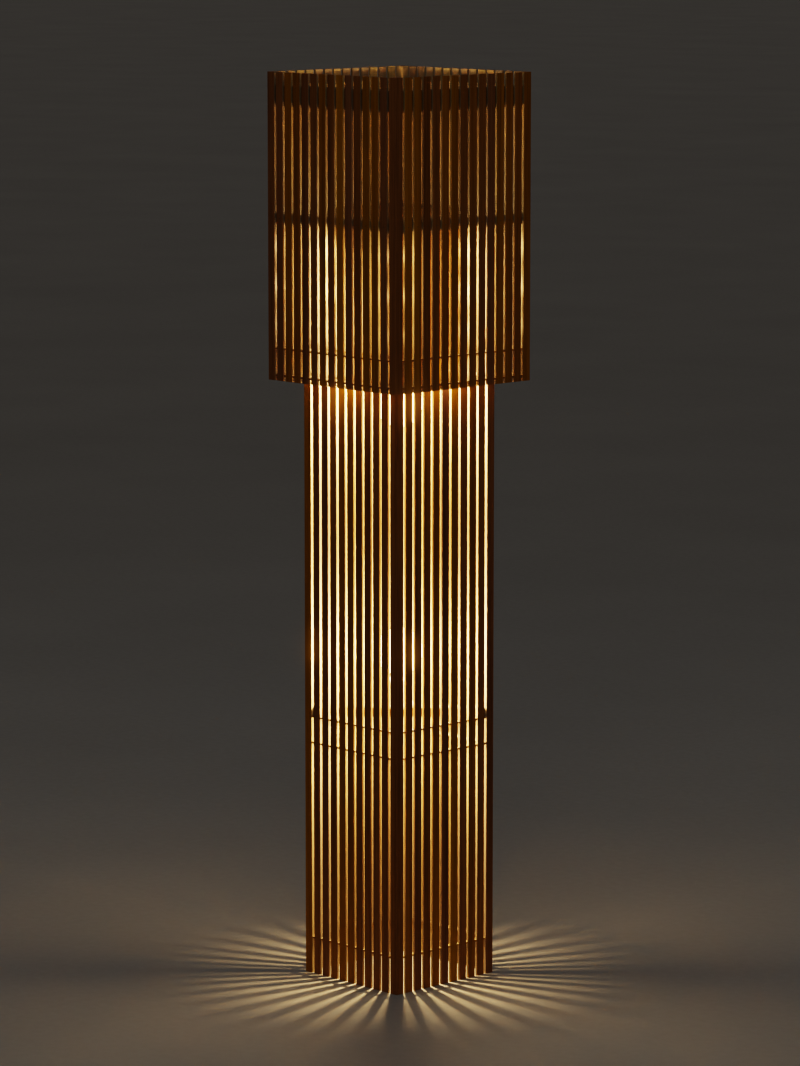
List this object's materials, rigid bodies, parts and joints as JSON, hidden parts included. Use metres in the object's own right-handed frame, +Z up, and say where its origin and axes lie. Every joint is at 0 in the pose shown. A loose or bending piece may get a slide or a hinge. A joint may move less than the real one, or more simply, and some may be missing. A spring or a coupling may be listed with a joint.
{
  "type": "andon floor lamp",
  "caption": "Tall square floor lamp of upright wooden slats, with a wider open-topped slatted shade on a slim slatted column, lit from inside.",
  "frame": {"origin": "on the floor, in the middle of the four corner posts of the column", "axes": "+Z up, -Y the front face of the lamp, +X its right face"},
  "size_m": [0.31, 0.31, 1.535],
  "materials": {
    "slat_wood": "oiled, dark stained",
    "lath_wood": "oiled, dark stained",
    "rail_wood": "oiled, dark stained",
    "inner_wood": "planed, unfinished",
    "screw_steel": "zinc plated",
    "porcelain": "glazed",
    "holder_brass": "drawn",
    "cap_metal": "rolled",
    "bulb_glass": "frosted, lit from inside",
    "stem_glass": "clear"
  },
  "bodies": {
    "column": {"column_posts": "slat_wood", "column_slats_front": "slat_wood", "column_slats_right": "slat_wood", "column_slats_back": "slat_wood", "column_slats_left": "slat_wood", "column_foot_laths": "lath_wood", "column_waist_laths": "lath_wood", "column_neck_laths": "lath_wood", "column_head_rails": "rail_wood", "lower_lamp_bar": "inner_wood", "upper_lamp_bar": "inner_wood", "bar_screws": "screw_steel", "holder_screws": "screw_steel", "lampholder_bodies": "porcelain", "lampholder_shells": "holder_brass", "lampholder_contacts": "holder_brass"},
    "shade": {"shade_posts": "slat_wood", "shade_slats_front": "slat_wood", "shade_slats_right": "slat_wood", "shade_slats_back": "slat_wood", "shade_slats_left": "slat_wood", "shade_hem_laths": "lath_wood", "shade_top_rails": "rail_wood", "shelf_long_boards": "inner_wood", "shelf_short_boards": "inner_wood", "shelf_cleats": "inner_wood", "cleat_screws": "screw_steel"},
    "lower_bulb_cap_body": {"lower_bulb_cap": "cap_metal"},
    "lower_bulb_glass_body": {"lower_bulb_glass": "bulb_glass", "lower_bulb_stem": "stem_glass"},
    "neck_bulb_cap_body": {"neck_bulb_cap": "cap_metal"},
    "neck_bulb_glass_body": {"neck_bulb_glass": "bulb_glass", "neck_bulb_stem": "stem_glass"},
    "shade_bulb_cap_body": {"shade_bulb_cap": "cap_metal"},
    "shade_bulb_glass_body": {"shade_bulb_glass": "bulb_glass", "shade_bulb_stem": "stem_glass"}
  },
  "joints": [
    {"name": "shade_lift", "type": "slide", "parent": "column", "child": "shade", "axis": [0, 0, 1], "range_m": [0, 0.3]},
    {"name": "lower_bulb_travel", "type": "slide", "parent": "column", "child": "lower_bulb_cap_body", "axis": [0, 0, 1], "range_m": [0, 0.0182]},
    {"name": "lower_bulb_turn", "type": "hinge", "parent": "lower_bulb_cap_body", "child": "lower_bulb_glass_body", "pos_m": [0, 0, 0.5575], "axis": [0, 0, 1], "range_deg": [0, 1800]},
    {"name": "neck_bulb_travel", "type": "slide", "parent": "column", "child": "neck_bulb_cap_body", "axis": [0, 0, -1], "range_m": [0, 0.0182]},
    {"name": "neck_bulb_turn", "type": "hinge", "parent": "neck_bulb_cap_body", "child": "neck_bulb_glass_body", "pos_m": [0, 0, 0.9805], "axis": [0, 0, -1], "range_deg": [0, 1800]},
    {"name": "shade_bulb_travel", "type": "slide", "parent": "column", "child": "shade_bulb_cap_body", "axis": [0, 0, 1], "range_m": [0, 0.0182]},
    {"name": "shade_bulb_turn", "type": "hinge", "parent": "shade_bulb_cap_body", "child": "shade_bulb_glass_body", "pos_m": [0, 0, 1.1855], "axis": [0, 0, 1], "range_deg": [0, 1800]}
  ],
  "couplings": [
    {"joint": "lower_bulb_travel", "follows": "lower_bulb_turn", "m_per_rad": 0.00057757},
    {"joint": "neck_bulb_travel", "follows": "neck_bulb_turn", "m_per_rad": 0.00057757},
    {"joint": "shade_bulb_travel", "follows": "shade_bulb_turn", "m_per_rad": 0.00057757}
  ]
}
